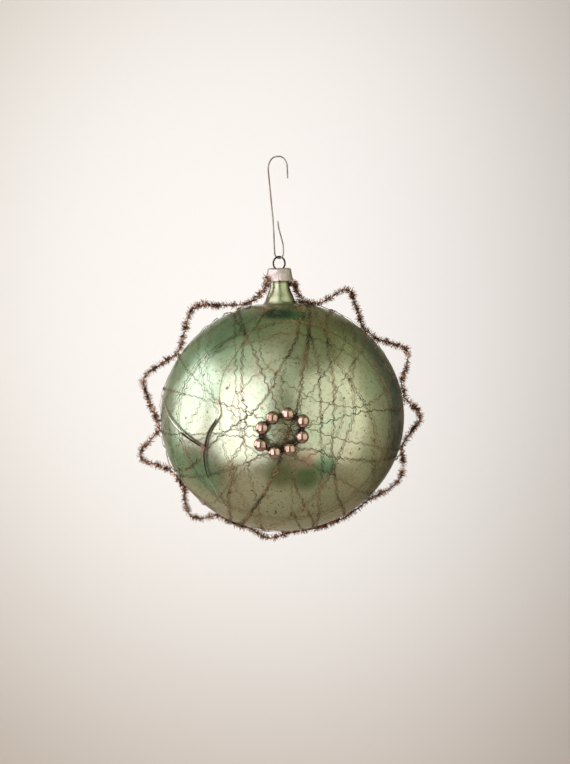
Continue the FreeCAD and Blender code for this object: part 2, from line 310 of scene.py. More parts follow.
# ---------------------------------------------------------------- materials
def lustre_glass():
    """Silvered glass under worn green lacquer: tonal drift, brown ageing, specks and pinholes, with painted
    reflections and a painted shadow.
    """
    n = Nodes("lustre_glass")
    drift = n.noise(28.0, 3.0, 0.5, 0.6)
    green = n.mix(n.ramp(drift, 0.36, 0.64), (0.49, 0.64, 0.47), (0.64, 0.67, 0.51))
    patch = n.noise(70.0, 5.0, 0.6, 1.2)
    aged = n.ramp(patch, 0.52, 0.78, 0.0, 0.55)
    lower = n.height(CENTRE.z - 26 * MM, CENTRE.z + 2 * MM)
    aged = n.maths("MULTIPLY", aged, n.ramp(lower, 0.0, 1.0, 1.0, 0.55))
    colour = n.mix(aged, green, (0.45, 0.36, 0.20))
    # Olive towards the bottom: a painted reflection of the surroundings below the ball.
    colour = n.mix(n.ramp(lower, 0.0, 1.0, 0.45, 0.0), colour, (0.52, 0.53, 0.29))
    # Patches of colour at fixed places on the front: greener ones at the top and on the left, a pink one
    # below the middle, dark green painted reflections low on the front, and under the neck a dark green
    # painted reflection of the neck.
    for right, above, reach, tint in (
        (-19.0, 32.0, 24.0, (0.28, 0.54, 0.34)),
        (16.0, 34.0, 24.0, (0.34, 0.47, 0.26)),
        (-33.0, 22.0, 15.0, (0.33, 0.56, 0.34)),
        (-37.0, -12.0, 13.0, (0.36, 0.66, 0.40)),
        (-27.0, -17.0, 11.0, (0.34, 0.62, 0.38)),
        (-1.0, -16.5, 7.5, (0.16, 0.22, 0.09)),
        (7.5, -17.5, 7.5, (0.10, 0.22, 0.09)),
        (13.8, -13.6, 6.0, (0.19, 0.40, 0.22)),
        (8.0, -11.0, 4.6, (0.50, 0.38, 0.27)),
        (5.0, 35.8, 6.5, (0.10, 0.42, 0.20)),
        (-2.2, 36.2, 5.8, (0.0, 0.09, 0.045)),
        (0.8, 36.2, 5.8, (0.0, 0.09, 0.045)),
    ):
        spot = n.near(CENTRE + front_point(right, above), reach * MM)
        colour = n.mix(n.maths("MULTIPLY", spot, 0.9), colour, tint)
    neck = n.height(CENTRE.z + 38.8 * MM, CENTRE.z + 41.0 * MM)
    colour = n.mix(n.maths("MULTIPLY", neck, 0.85), colour, (0.43, 0.48, 0.31))
    # A dark band on the neck just under the cap: painted shadow of the cap.
    painted_cap_shadow = n.height(cap_low.z - 0.9 * MM, cap_low.z + 0.2 * MM)
    colour = n.mix(n.maths("MULTIPLY", painted_cap_shadow, 0.9), colour, (0.06, 0.045, 0.02))
    grain = n.noise(900.0, 4.0, 0.65)
    colour = n.mix(n.ramp(grain, 0.45, 0.70, 0.0, 0.45), colour, (0.32, 0.27, 0.15))
    ragged = n.wobbled(0.0012, 600.0)
    dark = None
    for scale, size in ((230.0, 0.12), (520.0, 0.22), (900.0, 0.26)):
        chance = n.ramp(n.cells(scale, ragged, "Color"), 0.45, 1.0, 0.0, size)
        fleck = n.ramp(n.maths("SUBTRACT", n.cells(scale, ragged), chance), -0.03, 0.04, 0.85, 0.0)
        dark = n.maths("MAXIMUM", dark, fleck) if dark else fleck
    colour = n.mix(dark, colour, (0.13, 0.085, 0.035))
    stain = n.ramp(n.noise(190.0, 5.0, 0.7, 2.0), 0.60, 0.72, 0.0, 0.65)
    colour = n.mix(stain, colour, (0.30, 0.19, 0.09))
    rough = n.ramp(n.noise(140.0, 4.0), 0.3, 0.7, 0.24, 0.34)
    rough = n.maths("ADD", rough, n.maths("MULTIPLY", n.maths("ADD", dark, stain), 0.2))
    n.bump(n.noise(420.0, 3.0), 0.05, 0.0004)
    return n.finish(colour, rough, 0.94, 0.12, 0.12)


def tin():
    """Dull pressed tin, crumpled by the press and dark along its hem."""
    n = Nodes("tin_cap")
    wear = n.noise(260.0, 5.0, 0.6, 0.8)
    colour = n.mix(n.ramp(wear, 0.35, 0.7), (0.68, 0.62, 0.59), (0.47, 0.40, 0.37))
    colour = n.mix(n.ramp(n.noise(700.0, 4.0, 0.7), 0.6, 0.75, 0.0, 0.6), colour, (0.30, 0.22, 0.17))
    colour = n.mix(n.ramp(n.height(cap_low.z, cap_low.z + 0.9 * MM), 0.0, 1.0, 0.45, 0.0), colour,
                   (0.32, 0.24, 0.18))
    brushed = n.noise(500.0, 3.0, 0.6, 0.0, n.stretched(1.0, 1.0, 0.2))
    rough = n.ramp(wear, 0.3, 0.7, 0.36, 0.55)
    crumple = n.noise(330.0, 2.0, 0.5, 0.6)
    n.bump(n.maths("ADD", n.maths("MULTIPLY", brushed, 0.4), crumple), 0.8, 0.0005)
    return n.finish(colour, rough, 0.75)


def old_wire(name, bright, dull, rust, scale, metallic, rough_low, rough_high):
    """Bare wire with a tarnished skin and rust blooms."""
    n = Nodes(name)
    skin = n.noise(scale, 4.0, 0.6)
    colour = n.mix(n.ramp(skin, 0.35, 0.65), bright, dull)
    colour = n.mix(n.ramp(n.noise(scale * 0.45, 4.0, 0.6), 0.55, 0.7, 0.0, 0.75), colour, rust)
    n.bump(n.noise(scale * 3, 3.0), 0.25, 0.00005)
    return n.finish(colour, n.ramp(skin, 0.3, 0.7, rough_low, rough_high), metallic)


def mirror_bead():
    """Silvered beads with coppery lacquer, darkened with painted shade below, where they lie against the
    glass.
    """
    n = Nodes("mirror_bead")
    worn = n.noise(520.0, 4.0, 0.6, 0.8)
    colour = n.mix(n.ramp(worn, 0.4, 0.65), (0.60, 0.44, 0.37), (0.37, 0.245, 0.185))
    spots = n.ramp(n.noise(1500.0, 3.0, 0.6), 0.62, 0.72, 0.0, 0.8)
    colour = n.mix(spots, colour, (0.10, 0.06, 0.04))
    # Darker on the side towards the ball, with a ragged edge: painted shade where the beads lie against the
    # glass.
    lift = n.maths("ADD", n.distance(CENTRE), n.maths("MULTIPLY", n.noise(700.0, 3.0), 1.2 * MM))
    painted_shade_below = n.ramp(lift, HALF_WIDTH + 2.8 * MM, HALF_WIDTH + 4.9 * MM, 0.95, 0.0)
    colour = n.mix(painted_shade_below, colour, (0.055, 0.03, 0.02))
    rough = n.maths("ADD", n.ramp(worn, 0.3, 0.7, 0.07, 0.16), n.maths("MULTIPLY", spots, 0.3))
    rough = n.maths("ADD", rough, n.maths("MULTIPLY", painted_shade_below, 0.2))
    n.bump(n.noise(600.0, 2.0), 0.08, 0.0001)
    return n.finish(colour, rough, 1.0, 0.15, 0.04)


def foil(name, bright, tarnished, dark, scale):
    """Thin metal foil, each bit of it more or less tarnished."""
    n = Nodes(name)
    tone = n.noise(scale, 3.0, 0.5)
    colour = n.mix(n.ramp(tone, 0.44, 0.50), bright, tarnished)
    colour = n.mix(n.ramp(n.noise(800.0, 3.0), 0.55, 0.7, 0.0, 0.7), colour, dark)
    n.bump(n.noise(1200.0, 2.0), 0.15, 0.00005)
    return n.finish(colour, n.ramp(tone, 0.35, 0.65, 0.2, 0.4), 0.9)


def lametta():
    """Silver foil strip, brown with handling for a centimetre round the knot that ties it."""
    n = Nodes("lametta")
    away = n.maths("ADD", n.distance(CENTRE + KNOT_FOOT), n.maths("MULTIPLY", n.noise(260.0, 3.0), 4 * MM))
    handled = n.ramp(away, 12.5 * MM, 14.5 * MM, 1.0, 0.0)
    colour = n.mix(n.ramp(n.noise(500.0, 4.0), 0.4, 0.7), (0.86, 0.84, 0.79), (0.66, 0.60, 0.50))
    stained = n.height(CENTRE.z + 3 * MM, CENTRE.z + 9 * MM)
    colour = n.mix(n.maths("MULTIPLY", stained, 0.7), colour, (0.62, 0.43, 0.27))
    colour = n.mix(handled, colour, (0.045, 0.027, 0.018))
    n.bump(n.noise(1200.0, 2.0), 0.15, 0.00005)
    return n.finish(colour, n.ramp(handled, 0.0, 1.0, 0.25, 0.45), 0.9)


GLASS = lustre_glass()
TIN = tin()
CRINKLE_WIRE = old_wire("crinkle_wire", (0.34, 0.22, 0.11), (0.055, 0.034, 0.02), (0.20, 0.09, 0.04),
                        120.0, 0.7, 0.3, 0.5)
BEAD_THREAD = old_wire("bead_thread_wire", (0.09, 0.055, 0.035), (0.035, 0.02, 0.015), (0.12, 0.05, 0.03),
                       400.0, 0.7, 0.3, 0.5)
CLIP_WIRE = old_wire("dark_wire", (0.075, 0.055, 0.045), (0.03, 0.02, 0.016), (0.12, 0.05, 0.03),
                     500.0, 0.8, 0.35, 0.55)
HOOK_WIRE = old_wire("hook_wire", (0.34, 0.32, 0.30), (0.16, 0.14, 0.13), (0.18, 0.11, 0.07),
                     300.0, 0.9, 0.28, 0.45)
BEAD = mirror_bead()
TINSEL = foil("tinsel", (0.90, 0.62, 0.48), (0.17, 0.088, 0.05), (0.035, 0.02, 0.013), 1300.0)
LAMETTA = lametta()
KNOT_THREAD = old_wire("knot_thread", (0.42, 0.25, 0.19), (0.16, 0.09, 0.07), (0.24, 0.11, 0.08),
                       500.0, 0.3, 0.4, 0.6)


# ---------------------------------------------------------------- the glass
# the neck's outline, from the ball's shoulder up: (radius, height above the ball's middle)
NECK_OUTLINE = [(8.8, 38.62), (7.2, 38.6), (6.1, 38.8), (5.45, 39.35), (5.0, 40.2), (4.6, 41.4), (4.05, 42.7),
                (3.5, 44.2), (3.25, 45.6), (3.4, 50.2)]
SHOULDER_RADIUS = NECK_OUTLINE[0][0] * MM
NECK_FOOT = 40 * MM
UNEVENNESS = 0.0035


def glass_profile():
    """From the bottom pole up the outside, over the neck's rim and down the inside."""
    def side(lift, rows):
        base = math.pi - math.asin((SHOULDER_RADIUS + lift) / (HALF_WIDTH + lift))
        angles = np.linspace(0, base, rows)
        return [((HALF_WIDTH + lift) * math.sin(a), -(HALF_HEIGHT + lift) * math.cos(a)) for a in angles]

    outside = side(0.0, 110)
    collar = smooth_line([(r * MM, h * MM) for r, h in NECK_OUTLINE], 0.35 * MM)
    rim = [(3.48 * MM, NECK_RIM - 0.06 * MM), (3.26 * MM, NECK_RIM), (3.05 * MM, NECK_RIM - 0.06 * MM)]
    bore = [(r - (GLASS_WALL if h < NECK_FOOT else NECK_WALL), h) for r, h in reversed(collar[1:])]
    inside = list(reversed(side(-GLASS_WALL, 60)))
    return outside + [tuple(p) for p in collar[1:]] + rim + bore + inside[1:]


def blown(angle, radius, height):
    """The slight unevenness of free-blown glass; the neck stays true."""
    swell = noise.noise(Vector((math.cos(angle) * 1.3, math.sin(angle) * 1.3, height / (30 * MM))))
    below_neck = min(1.0, max(0.0, (NECK_RIM - 14 * MM - height) / (10 * MM)))
    return radius * (1 - UNEVENNESS * abs(swell) * below_neck), height


profile = [(0.0 if r < 1e-7 else r, h) for r, h in glass_profile()]
add_piece("glass_ball_blown", *lathe(profile, 192, blown), GLASS, "lustre_glass", ["glass_ball"])


# ---------------------------------------------------------------- the cap
FACETS = 8
SHEET = 0.28 * MM
PLEAT_DEPTH = 0.26
CROWN = 0.10
CORNER_RADIUS = 4.05 * MM
CORNER_HEIGHT = CAP_TOP - 0.38 * MM
cap_rng = random.Random(5)
FACET_DENTS = [cap_rng.uniform(-1, 1) for _ in range(FACETS)]
FACET_HEMS = [cap_rng.uniform(0.0, 0.5) * MM for _ in range(FACETS)]


def cap_shape(angle, radius, height):
    """Broad pressed facets with a doubled pleat between neighbours, and an uneven hem."""
    facet = angle / (2 * math.pi) * FACETS
    index = int(facet) % FACETS
    across = facet - int(facet)
    from_pleat = min(across, 1 - across)
    down = min(1.0, max(0.0, (CAP_TOP - 0.5 * MM - height) / (CAP_TOP - CAP_BOTTOM)))
    pleat = math.exp(-(from_pleat / 0.045) ** 2) - 0.55 * math.exp(-((from_pleat - 0.11) / 0.03) ** 2)
    flat = CROWN * math.sin(math.pi * across)
    dent = CROWN * FACET_DENTS[index] * math.sin(math.pi * across) ** 2
    push = (PLEAT_DEPTH * pleat + flat + dent) * down * MM
    here = Vector((math.cos(angle) * 4, math.sin(angle) * 4, height / (2 * MM)))
    ripple = noise.noise(here) * 0.05 * MM
    hem_share = max(0.0, 1 - (height - CAP_BOTTOM) / (1.6 * MM))
    after = FACET_HEMS[(index + 1) % FACETS]
    pinch = 0.30 * MM * math.exp(-(from_pleat / 0.07) ** 2)
    hem = FACET_HEMS[index] * (1 - across) + after * across + pinch
    return min(radius - push + ripple * down, CAP_RADIUS), height + hem * hem_share


def cap_profile():
    """Across the top and down the skirt outside, then back up and in, a sheet's thickness inside that."""
    outer = [(0.0, CAP_TOP - 0.05 * MM), (1.5 * MM, CAP_TOP - 0.04 * MM), (2.6 * MM, CAP_TOP - 0.03 * MM),
             (3.3 * MM, CAP_TOP), (3.75 * MM, CAP_TOP - 0.1 * MM), (CORNER_RADIUS, CORNER_HEIGHT)]
    bottom = CAP_RADIUS - 0.05 * MM
    outer += [(CORNER_RADIUS + (bottom - CORNER_RADIUS) * t, CORNER_HEIGHT - (CORNER_HEIGHT - CAP_BOTTOM) * t)
              for t in np.linspace(0.08, 1, 14)]
    inner = [(max(0.0, r - SHEET), h - (SHEET if r < 4.0 * MM else 0.0)) for r, h in reversed(outer)]
    return outer + inner


cap_vertices, cap_faces = lathe(cap_profile(), 240, cap_shape)
cap_faces = [tuple(reversed(face)) for face in cap_faces]
add_piece("tin_cap", cap_vertices, cap_faces, TIN, "tin_cap", ["cap"], body="cap")

for node, finish in (("clip", CLIP_WIRE), ("hanging_hook", HOOK_WIRE)):
    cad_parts[node].data.materials.clear()
    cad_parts[node].data.materials.append(finish)


# ---------------------------------------------------------------- crinkle wire
def crinkled(line, outward, seed):
    """The line with uneven kinks to both sides, as in wire that has been through a crimping wheel."""
    dice = random.Random(seed)
    step = np.linalg.norm(np.roll(line, -1, axis=0) - line, axis=1)
    length = np.concatenate([[0.0], np.cumsum(step)[:-1]])
    total = step.sum()
    places, offsets, heights, side = [0.0], [0.0], [0.0], 1
    while places[-1] < total - CRINKLE_PERIOD:
        places.append(places[-1] + CRINKLE_PERIOD * dice.uniform(0.22, 0.85))
        offsets.append(side * CRINKLE_AMPLITUDE * dice.uniform(0.2, 1.25))
        heights.append(CRINKLE_AMPLITUDE * dice.uniform(-0.1, 0.4))
        side = -side
    places.append(total)
    offsets.append(0.0)
    heights.append(0.0)
    across = np.cross(outward, tangents(line, True))
    sideways = np.interp(length, places, offsets)[:, None]
    upward = np.interp(length, places, heights)[:, None]
    kinked = line + across * sideways + outward * upward
    return 0.25 * np.roll(kinked, 1, axis=0) + 0.5 * kinked + 0.25 * np.roll(kinked, -1, axis=0)


def wound_line(points, lift, seed):
    """A closed turn of wire: along the given points of the front, then round the back in their plane."""
    dice = random.Random(seed)
    size = np.array([HALF_WIDTH, HALF_WIDTH, HALF_HEIGHT])
    front = unit(np.array([front_point(*p) for p in points]) / size)
    first, middle, last = front[0], front[len(front) // 2], front[-1]
    normal = unit(np.cross(middle - first, last - first))
    hub = normal * (normal @ first)
    start = first - hub
    beside = np.cross(normal, start)
    reach = math.atan2((last - hub) @ beside, (last - hub) @ start) % (2 * math.pi)
    steps = max(4, int((2 * math.pi - reach) / 0.42))
    back = []
    for i in range(1, steps):
        angle = reach + (2 * math.pi - reach) * i / steps
        wander = normal * dice.uniform(-0.028, 0.028)
        back.append(hub + start * math.cos(angle) + beside * math.sin(angle) + wander)
    line = unit(smooth_line(np.vstack([front, back]), 0.28 * MM / HALF_WIDTH, closed=True))
    outward = unit(line / size)
    line = line * size
    rings = np.linalg.norm(line[:, :2], axis=1)
    close = (line[:, 2] > 0) & (rings < NECK_CLEARANCE)
    line[close, :2] *= (NECK_CLEARANCE / np.maximum(rings[close], 1e-9))[:, None]
    climb = np.clip((FLARE_RADIUS - rings) / (FLARE_RADIUS - NECK_CLEARANCE), 0, 1) ** 2 * FLARE_RISE
    line[:, 2] += np.where(line[:, 2] > 0, climb, 0.0)
    return line + outward * lift, outward


def strand(points, lift, seed, ply=1, thick=1.0):
    """The (vertices, faces) of one crinkled turn, of one wire or of several laid side by side."""
    line, outward = wound_line(points, lift * MM, seed)
    across = np.cross(outward, tangents(line, True))
    turn = np.linspace(0, 2 * math.pi, len(line), endpoint=False)
    dice = random.Random(seed + 90)
    spacing = WIRE_SPACING if ply > 1 else 0.0
    parts = []
    for wire in range(ply):
        drift = sum(math.sin(dice.uniform(0, 6)) + np.sin(turn * k + dice.uniform(0, 6)) for k in (3, 7, 12))
        own = line + across * (spacing * drift)[:, None] + outward * (spacing * wire)
        kinked = crinkled(own, outward, seed + 50 + 7 * wire)
        parts.append(tube(kinked, WIRE_RADIUS * thick, closed=True))
    return parts


def twist_knot(right, above, lift, seed):
    """Where two wires are nipped together: a few tight turns round a short length."""
    dice = random.Random(seed)
    turns, size = dice.uniform(2.0, 3.8), dice.uniform(0.17, 0.34)
    middle = np.array(front_point(right, above, lift * MM))
    outward = unit(middle)
    along = unit(np.cross(outward, [math.cos(seed), 0.3, math.sin(seed)]))
    across = np.cross(outward, along)
    points = []
    for i in range(int(turns * 8)):
        angle = i / 8 * 2 * math.pi
        radius = size * dice.uniform(0.4, 1.5) * MM
        forward = (i / (turns * 8) - 0.5) * dice.uniform(0.8, 1.5) * MM
        ring = across * math.cos(angle) + outward * math.sin(angle)
        points.append(middle + along * forward + radius * ring)
    return tube(smooth_line(points, 0.15 * MM), WIRE_RADIUS * 1.1)


# The turns of wire in each CAD node. Points are millimetres right of and above the ball's middle, on its
# front. lift is millimetres off the glass, ply how many wires, thick their thickness against a single wire.
WOUND = {
    "wrap_wire_centre": [
        dict(points=[(9.9, 37.6), (9.4, 28.7), (7.4, 19.1), (5.8, 9.1), (4.45, 3.6), (-0.3, -7.8),
                     (-1.2, -12.6), (-6.2, -22.3), (-9.8, -28.0), (-14.4, -34.9)],
             lift=0.29, ply=4, thick=1.25),
        dict(points=[(6.7, 33.5), (4.5, 27.3), (1.6, 20.9), (0.0, 11.0), (1.0, -5.0), (2.3, -11.6),
                     (2.7, -24.3), (2.9, -30.0)], lift=0.2),
    ],
    "wrap_wire_right_inner": [
        dict(points=[(10.1, 28.7), (12.6, 17.2), (12.6, 2.0), (12.6, -12.0), (11.6, -26.6), (11.1, -34.5)],
             lift=0.32, ply=2),
    ],
    "wrap_wire_right_middle": [
        dict(points=[(15.2, 26.8), (16.7, 16.0), (17.2, 8.6), (16.1, -8.7), (17.6, -23.3), (19.2, -28.0)],
             lift=0.26, ply=2),
    ],
    "wrap_wire_right_outer": [
        dict(points=[(24.9, 29.0), (23.6, 16.5), (24.0, 4.0), (21.4, -3.7), (20.0, -7.1)],
             lift=0.32, ply=2),
    ],
    "wrap_wire_right_low": [
        dict(points=[(13.0, 34.6), (17.2, 23.5), (21.8, 15.7), (25.0, 10.5), (29.8, 1.4), (31.1, -5.7),
                     (30.2, -13.5)], lift=0.38, ply=2),
    ],
    "wrap_wire_slant": [
        dict(points=[(27.2, 23.6), (21.5, 16.3), (16.5, 8.6), (12.9, 3.7), (6.8, -0.6), (-5.5, -7.0),
                     (-17.0, -18.0), (-23.0, -26.0)], lift=0.23),
        dict(points=[(21.4, 26.4), (16.0, 18.7), (6.8, 8.4), (4.45, 3.6), (-7.0, 1.0), (-19.5, -1.5),
                     (-32.0, -5.5)], lift=0.41),
    ],
    "wrap_wire_waist": [
        dict(points=[(-41.3, -4.0), (-23.4, -2.1), (-18.2, -2.7), (-7.3, -2.6), (6.8, -0.6), (12.9, 1.0),
                     (26.8, 3.5), (39.5, 3.1)], lift=0.23, thick=1.15),
    ],
    "wrap_wire_waist_low": [
        dict(points=[(-38.0, 11.0), (-24.0, 8.5), (-12.0, 5.5), (-4.0, 2.2), (7.7, -0.5), (21.4, -5.5),
                     (39.6, -11.6)], lift=0.32, thick=1.15),
    ],
    "wrap_wire_low_right": [
        dict(points=[(-36.0, -19.0), (-25.0, -16.5), (-13.0, -12.0), (-4.5, -8.6), (7.5, -7.5), (17.8, -11.2),
                     (28.1, -13.2), (38.5, -13.6)],
             lift=0.29, ply=2),
    ],
    "wrap_wire_cross": [
        dict(points=[(5.2, 28.9), (2.3, 23.5), (-1.9, 17.4), (-4.8, 11.1), (-11.2, 4.3), (-22.0, -4.5),
                     (-31.0, -14.0)], lift=0.44, ply=2, thick=1.2),
        dict(points=[(-7.1, 33.7), (-6.3, 22.7), (-1.9, 17.4), (4.0, 12.5)], lift=0.32),
        dict(points=[(-16.0, 9.0), (-4.2, 20.0), (1.3, 22.4), (6.4, 22.0), (10.6, 20.7), (20.0, 8.0)],
             lift=0.35),
        dict(points=[(-26.0, 22.0), (-12.0, 30.5), (3.0, 33.5), (16.0, 30.5), (27.0, 22.5)],
             lift=0.26, ply=2),
        dict(points=[(-31.5, 15.0), (-22.0, 24.0), (-9.0, 27.6), (4.0, 30.2), (17.5, 25.4), (31.0, 15.5)],
             lift=0.24),
    ],
    "wrap_wire_left_slant": [
        dict(points=[(-12.3, 30.6), (-8.3, 23.7), (-4.8, 14.4), (-2.1, 9.3), (-0.34, 4.3), (4.5, -5.3),
                     (3.8, -18.9), (6.4, -26.4), (9.4, -33.5)], lift=0.29, ply=2),
    ],
    "wrap_wire_left_inner": [
        dict(points=[(-12.0, 30.6), (-13.0, 17.8), (-12.5, 9.4), (-11.9, 5.3), (-13.1, -4.4), (-17.1, -11.5),
                     (-16.1, -14.7), (-18.3, -22.8), (-18.2, -33.5)], lift=0.35, ply=2),
        dict(points=[(-15.3, 35.0), (-15.2, 24.2), (-15.1, 16.7), (-13.5, 0.0)], lift=0.23),
    ],
    "wrap_wire_left_outer": [
        dict(points=[(-26.1, 31.1), (-27.1, 18.9), (-26.3, 9.1), (-33.8, -4.2), (-35.6, -9.0),
                     (-35.1, -16.3)], lift=0.26),
        dict(points=[(-24.1, 28.6), (-25.0, 19.1), (-22.5, 9.2), (-20.0, -3.0)], lift=0.38),
        dict(points=[(-22.0, 24.0), (-28.2, 15.6), (-36.0, 6.6), (-39.6, -0.7)], lift=0.32),
        dict(points=[(-33.6, 19.9), (-26.5, 13.1), (-14.0, 3.0)], lift=0.2),
    ],
}
# where wires are nipped together, on the front
KNOTS = {
    "wrap_wire_cross": [(-1.9, 17.4)],
    "wrap_wire_left_inner": [(-16.6, -14.0), (-18.3, -22.8), (-13.0, 9.0)],
    "wrap_wire_right_inner": [(12.9, 2.6)],
    "wrap_wire_right_outer": [(22.6, 14.6), (30.6, -6.2)],
    "wrap_wire_centre": [(2.2, -31.0), (3.9, -32.6), (6.2, -29.6), (9.7, -28.0), (-3.0, -30.0)],
}
KNOT_LIFT = 0.3
for order, (node, turns) in enumerate(WOUND.items()):
    parts = []
    for number, turn in enumerate(turns):
        parts += strand(seed=100 * order + 10 * number, **turn)
    for number, place in enumerate(KNOTS.get(node, [])):
        parts.append(twist_knot(*place, KNOT_LIFT, order + 3 * number))
    name = node.replace("wrap_wire", "crinkled")
    add_piece(name, *join_parts(parts), CRINKLE_WIRE, "crinkle_wire", [node])


# ---------------------------------------------------------------- the bead rosette
BEADS = 8
BEAD_COLUMNS = 40
BEAD_BORE = 0.55 * MM
BEAD_RADIUS = 2.28 * MM
ROSETTE_PULL = 0.96
ROSETTE_LIFT = 0.15 * MM
bead_boxes = [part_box("bead_%d" % number) for number in range(1, BEADS + 1)]
bead_middles = [np.array((low + high) / 2 - CENTRE) for low, high in bead_boxes]
rosette_middle = sum(bead_middles) / BEADS
rosette_out = unit(rosette_middle)
bead_middles = [rosette_middle + (middle - rosette_middle) * ROSETTE_PULL + rosette_out * ROSETTE_LIFT
                for middle in bead_middles]


def bead_mesh(index):
    """A blown bead: a ball with a small collar round each end of its bore, which follows the thread."""
    before, after = bead_middles[index - 1], bead_middles[(index + 1) % BEADS]
    axis = unit(np.cross(rosette_out, np.cross(after - before, rosette_out)))
    mouth = math.asin((BEAD_BORE + 0.12 * MM) / BEAD_RADIUS)
    angles = np.linspace(math.pi - mouth, mouth, 30)
    outside = [(BEAD_RADIUS * math.sin(a), BEAD_RADIUS * math.cos(a)) for a in angles]
    top = outside[-1][1]
    lip = [(BEAD_BORE + 0.05 * MM, top + 0.05 * MM), (BEAD_BORE, top - 0.05 * MM)]
    bore = [(BEAD_BORE, top * t) for t in (0.5, 0.0, -0.5)]
    foot = [(r, -h) for r, h in reversed(lip)]
    section = foot + outside + lip + bore
    vertices, faces = lathe(section, BEAD_COLUMNS)
    last = (len(section) - 1) * BEAD_COLUMNS
    for column in range(BEAD_COLUMNS):
        beside = (column + 1) % BEAD_COLUMNS
        faces.append((last + column, last + beside, beside, column))
    side = unit(np.cross(axis, rosette_out))
    basis = np.array([side, np.cross(axis, side), axis])
    return [bead_middles[index] + np.array(v) @ basis for v in vertices], faces


for index in range(BEADS):
    number = index + 1
    add_piece("mirror_bead_%d" % number, *bead_mesh(index), BEAD, "mirror_bead", ["bead_%d" % number])


THREAD_RADIUS = 0.14 * MM
COIL_PITCH = 0.42 * MM
COIL_OVERLAP = 1.3 * MM


def thread_and_coils():
    """The wire through the beads, and the little dark coils that fill the gaps between them."""
    parts = []
    ring = smooth_line(bead_middles, 0.4 * MM, closed=True)
    parts.append(tube(ring, 0.13 * MM, closed=True))
    for index in range(BEADS):
        start, end = bead_middles[index], bead_middles[(index + 1) % BEADS]
        gap = np.linalg.norm(end - start) - 2 * BEAD_RADIUS
        along = unit(end - start)
        middle = (start + end) / 2
        across = unit(np.cross(along, rosette_out))
        dice = random.Random(300 + index)
        reach = max(gap, 0.0) + COIL_OVERLAP
        turns = max(3, round(reach / COIL_PITCH))
        points = []
        for i in range(turns * 8):
            angle = i / 8 * 2 * math.pi
            radius = (0.62 + 0.25 * dice.random()) * MM
            forward = (i / (turns * 8) - 0.5) * min(reach, 2.2 * MM)
            ring_point = across * math.cos(angle) + rosette_out * math.sin(angle)
            points.append(middle + along * forward + radius * ring_point)
        parts.append(tube(smooth_line(points, 0.2 * MM), THREAD_RADIUS))
    return join_parts(parts)


add_piece("bead_thread", *thread_and_coils(), BEAD_THREAD, "crinkle_wire", ["bead_wire"])


TANGLE_LOOPS = 5


def tie_tangle():
    """The loose twist of wire inside the rosette: fine loops that cross the middle."""
    parts = []
    dice = random.Random(77)
    right = unit(np.cross([0, 0, 1.0], rosette_out))
    up = np.cross(rosette_out, right)
    foot = rosette_middle - rosette_out * (0.9 * MM)
    for _ in range(TANGLE_LOOPS):
        centre = foot + right * dice.uniform(-1.6, 1.6) * MM + up * dice.uniform(-1.6, 1.6) * MM
        wide, tall = dice.uniform(1.0, 2.8) * MM, dice.uniform(0.8, 2.0) * MM
        lean = dice.uniform(0, math.pi)
        first = right * math.cos(lean) + up * math.sin(lean)
        second = up * math.cos(lean) - right * math.sin(lean)
        points = []
        for angle in np.linspace(0, 2 * math.pi, 12, endpoint=False):
            kink = dice.uniform(0.75, 1.2)
            across = first * wide * kink * math.cos(angle) + second * tall * kink * math.sin(angle)
            points.append(centre + across + rosette_out * dice.uniform(0.0, 0.9) * MM)
        parts.append(tube(smooth_line(points, 0.25 * MM, closed=True), WIRE_RADIUS, closed=True))
    return join_parts(parts)


add_piece("rosette_tangle", *tie_tangle(), CRINKLE_WIRE, "crinkle_wire", ["rosette_tie"])


# ---------------------------------------------------------------- the tinsel garland
# The route in millimetres from the ball's middle: down from the cap, round the star in the plane y = 0 as
# (across, above), then back up and round the neck.
TINSEL_START = [(-4.7, -3.0, 48.8), (-4.5, -3.4, 46.2), (-5.2, -3.2, 43.7), (-7.0, -2.2, 42.0)]
TINSEL_STAR = [
    (-10.3, 39.5), (-13.9, 38.7), (-18.6, 38.6), (-26.6, 39.3), (-30, 38.4), (-31.5, 35.3), (-33.4, 29.1),
    (-34.9, 23.7), (-37.7, 21), (-45.4, 16.6), (-47.5, 14.3), (-47.6, 11.2), (-45.3, 4.2), (-41.7, -3.1),
    (-45.5, -7.2), (-49.1, -9.9), (-49.6, -13), (-46.1, -15.1), (-38.2, -18), (-34.8, -22.6), (-34, -30.2),
    (-32.7, -34.4), (-28.2, -35), (-23.7, -33.4), (-17.2, -35.9), (-11.4, -39), (-5.9, -42.7),
    (-0.7, -41.1), (2.4, -39.3), (9.3, -38.1), (20.8, -35.7), (25.3, -32.4), (28.2, -29.9), (37.2, -25.6),
    (40.1, -22.9), (41.5, -18.1), (40.6, -11.8), (43.5, -7.4), (47.4, -2.3), (47.5, 0.4), (42.1, 5.4),
    (41.1, 9.9), (43.4, 17.8), (44.1, 21.2), (42.1, 23.3), (35.2, 25.2), (31.5, 26.7), (27.8, 30.9),
    (25.9, 38.5), (24.9, 42.4), (22.2, 43.5), (17.3, 40.8), (13.6, 38.5),
]
TINSEL_END = [(10.4, -1.6, 38.8), (7.8, -1.4, 39.9), (6.2, -0.8, 42.0), (5.2, -0.4, 44.6), (5.3, 1.4, 45.6),
              (3.0, 5.0, 45.7), (-1.2, 6.0, 45.4), (-4.4, 4.4, 45.4)]
TINSEL_BEND = 1.8 * MM
TINSEL_STEP = 0.25 * MM
TINSEL_WANDER = 0.5 * MM
TINSEL_OFF_GLASS = 0.75 * MM
TINSEL_NECK = 38 * MM
TINSEL_CORE = 0.20 * MM
TWIST_PER_STEP = 0.42
BRISTLES_PER_STEP = 11.5
BRISTLE_LENGTHS = (0.9, 1.15, 1.4, 1.6, 1.9)
BRISTLE_TIP = 0.45


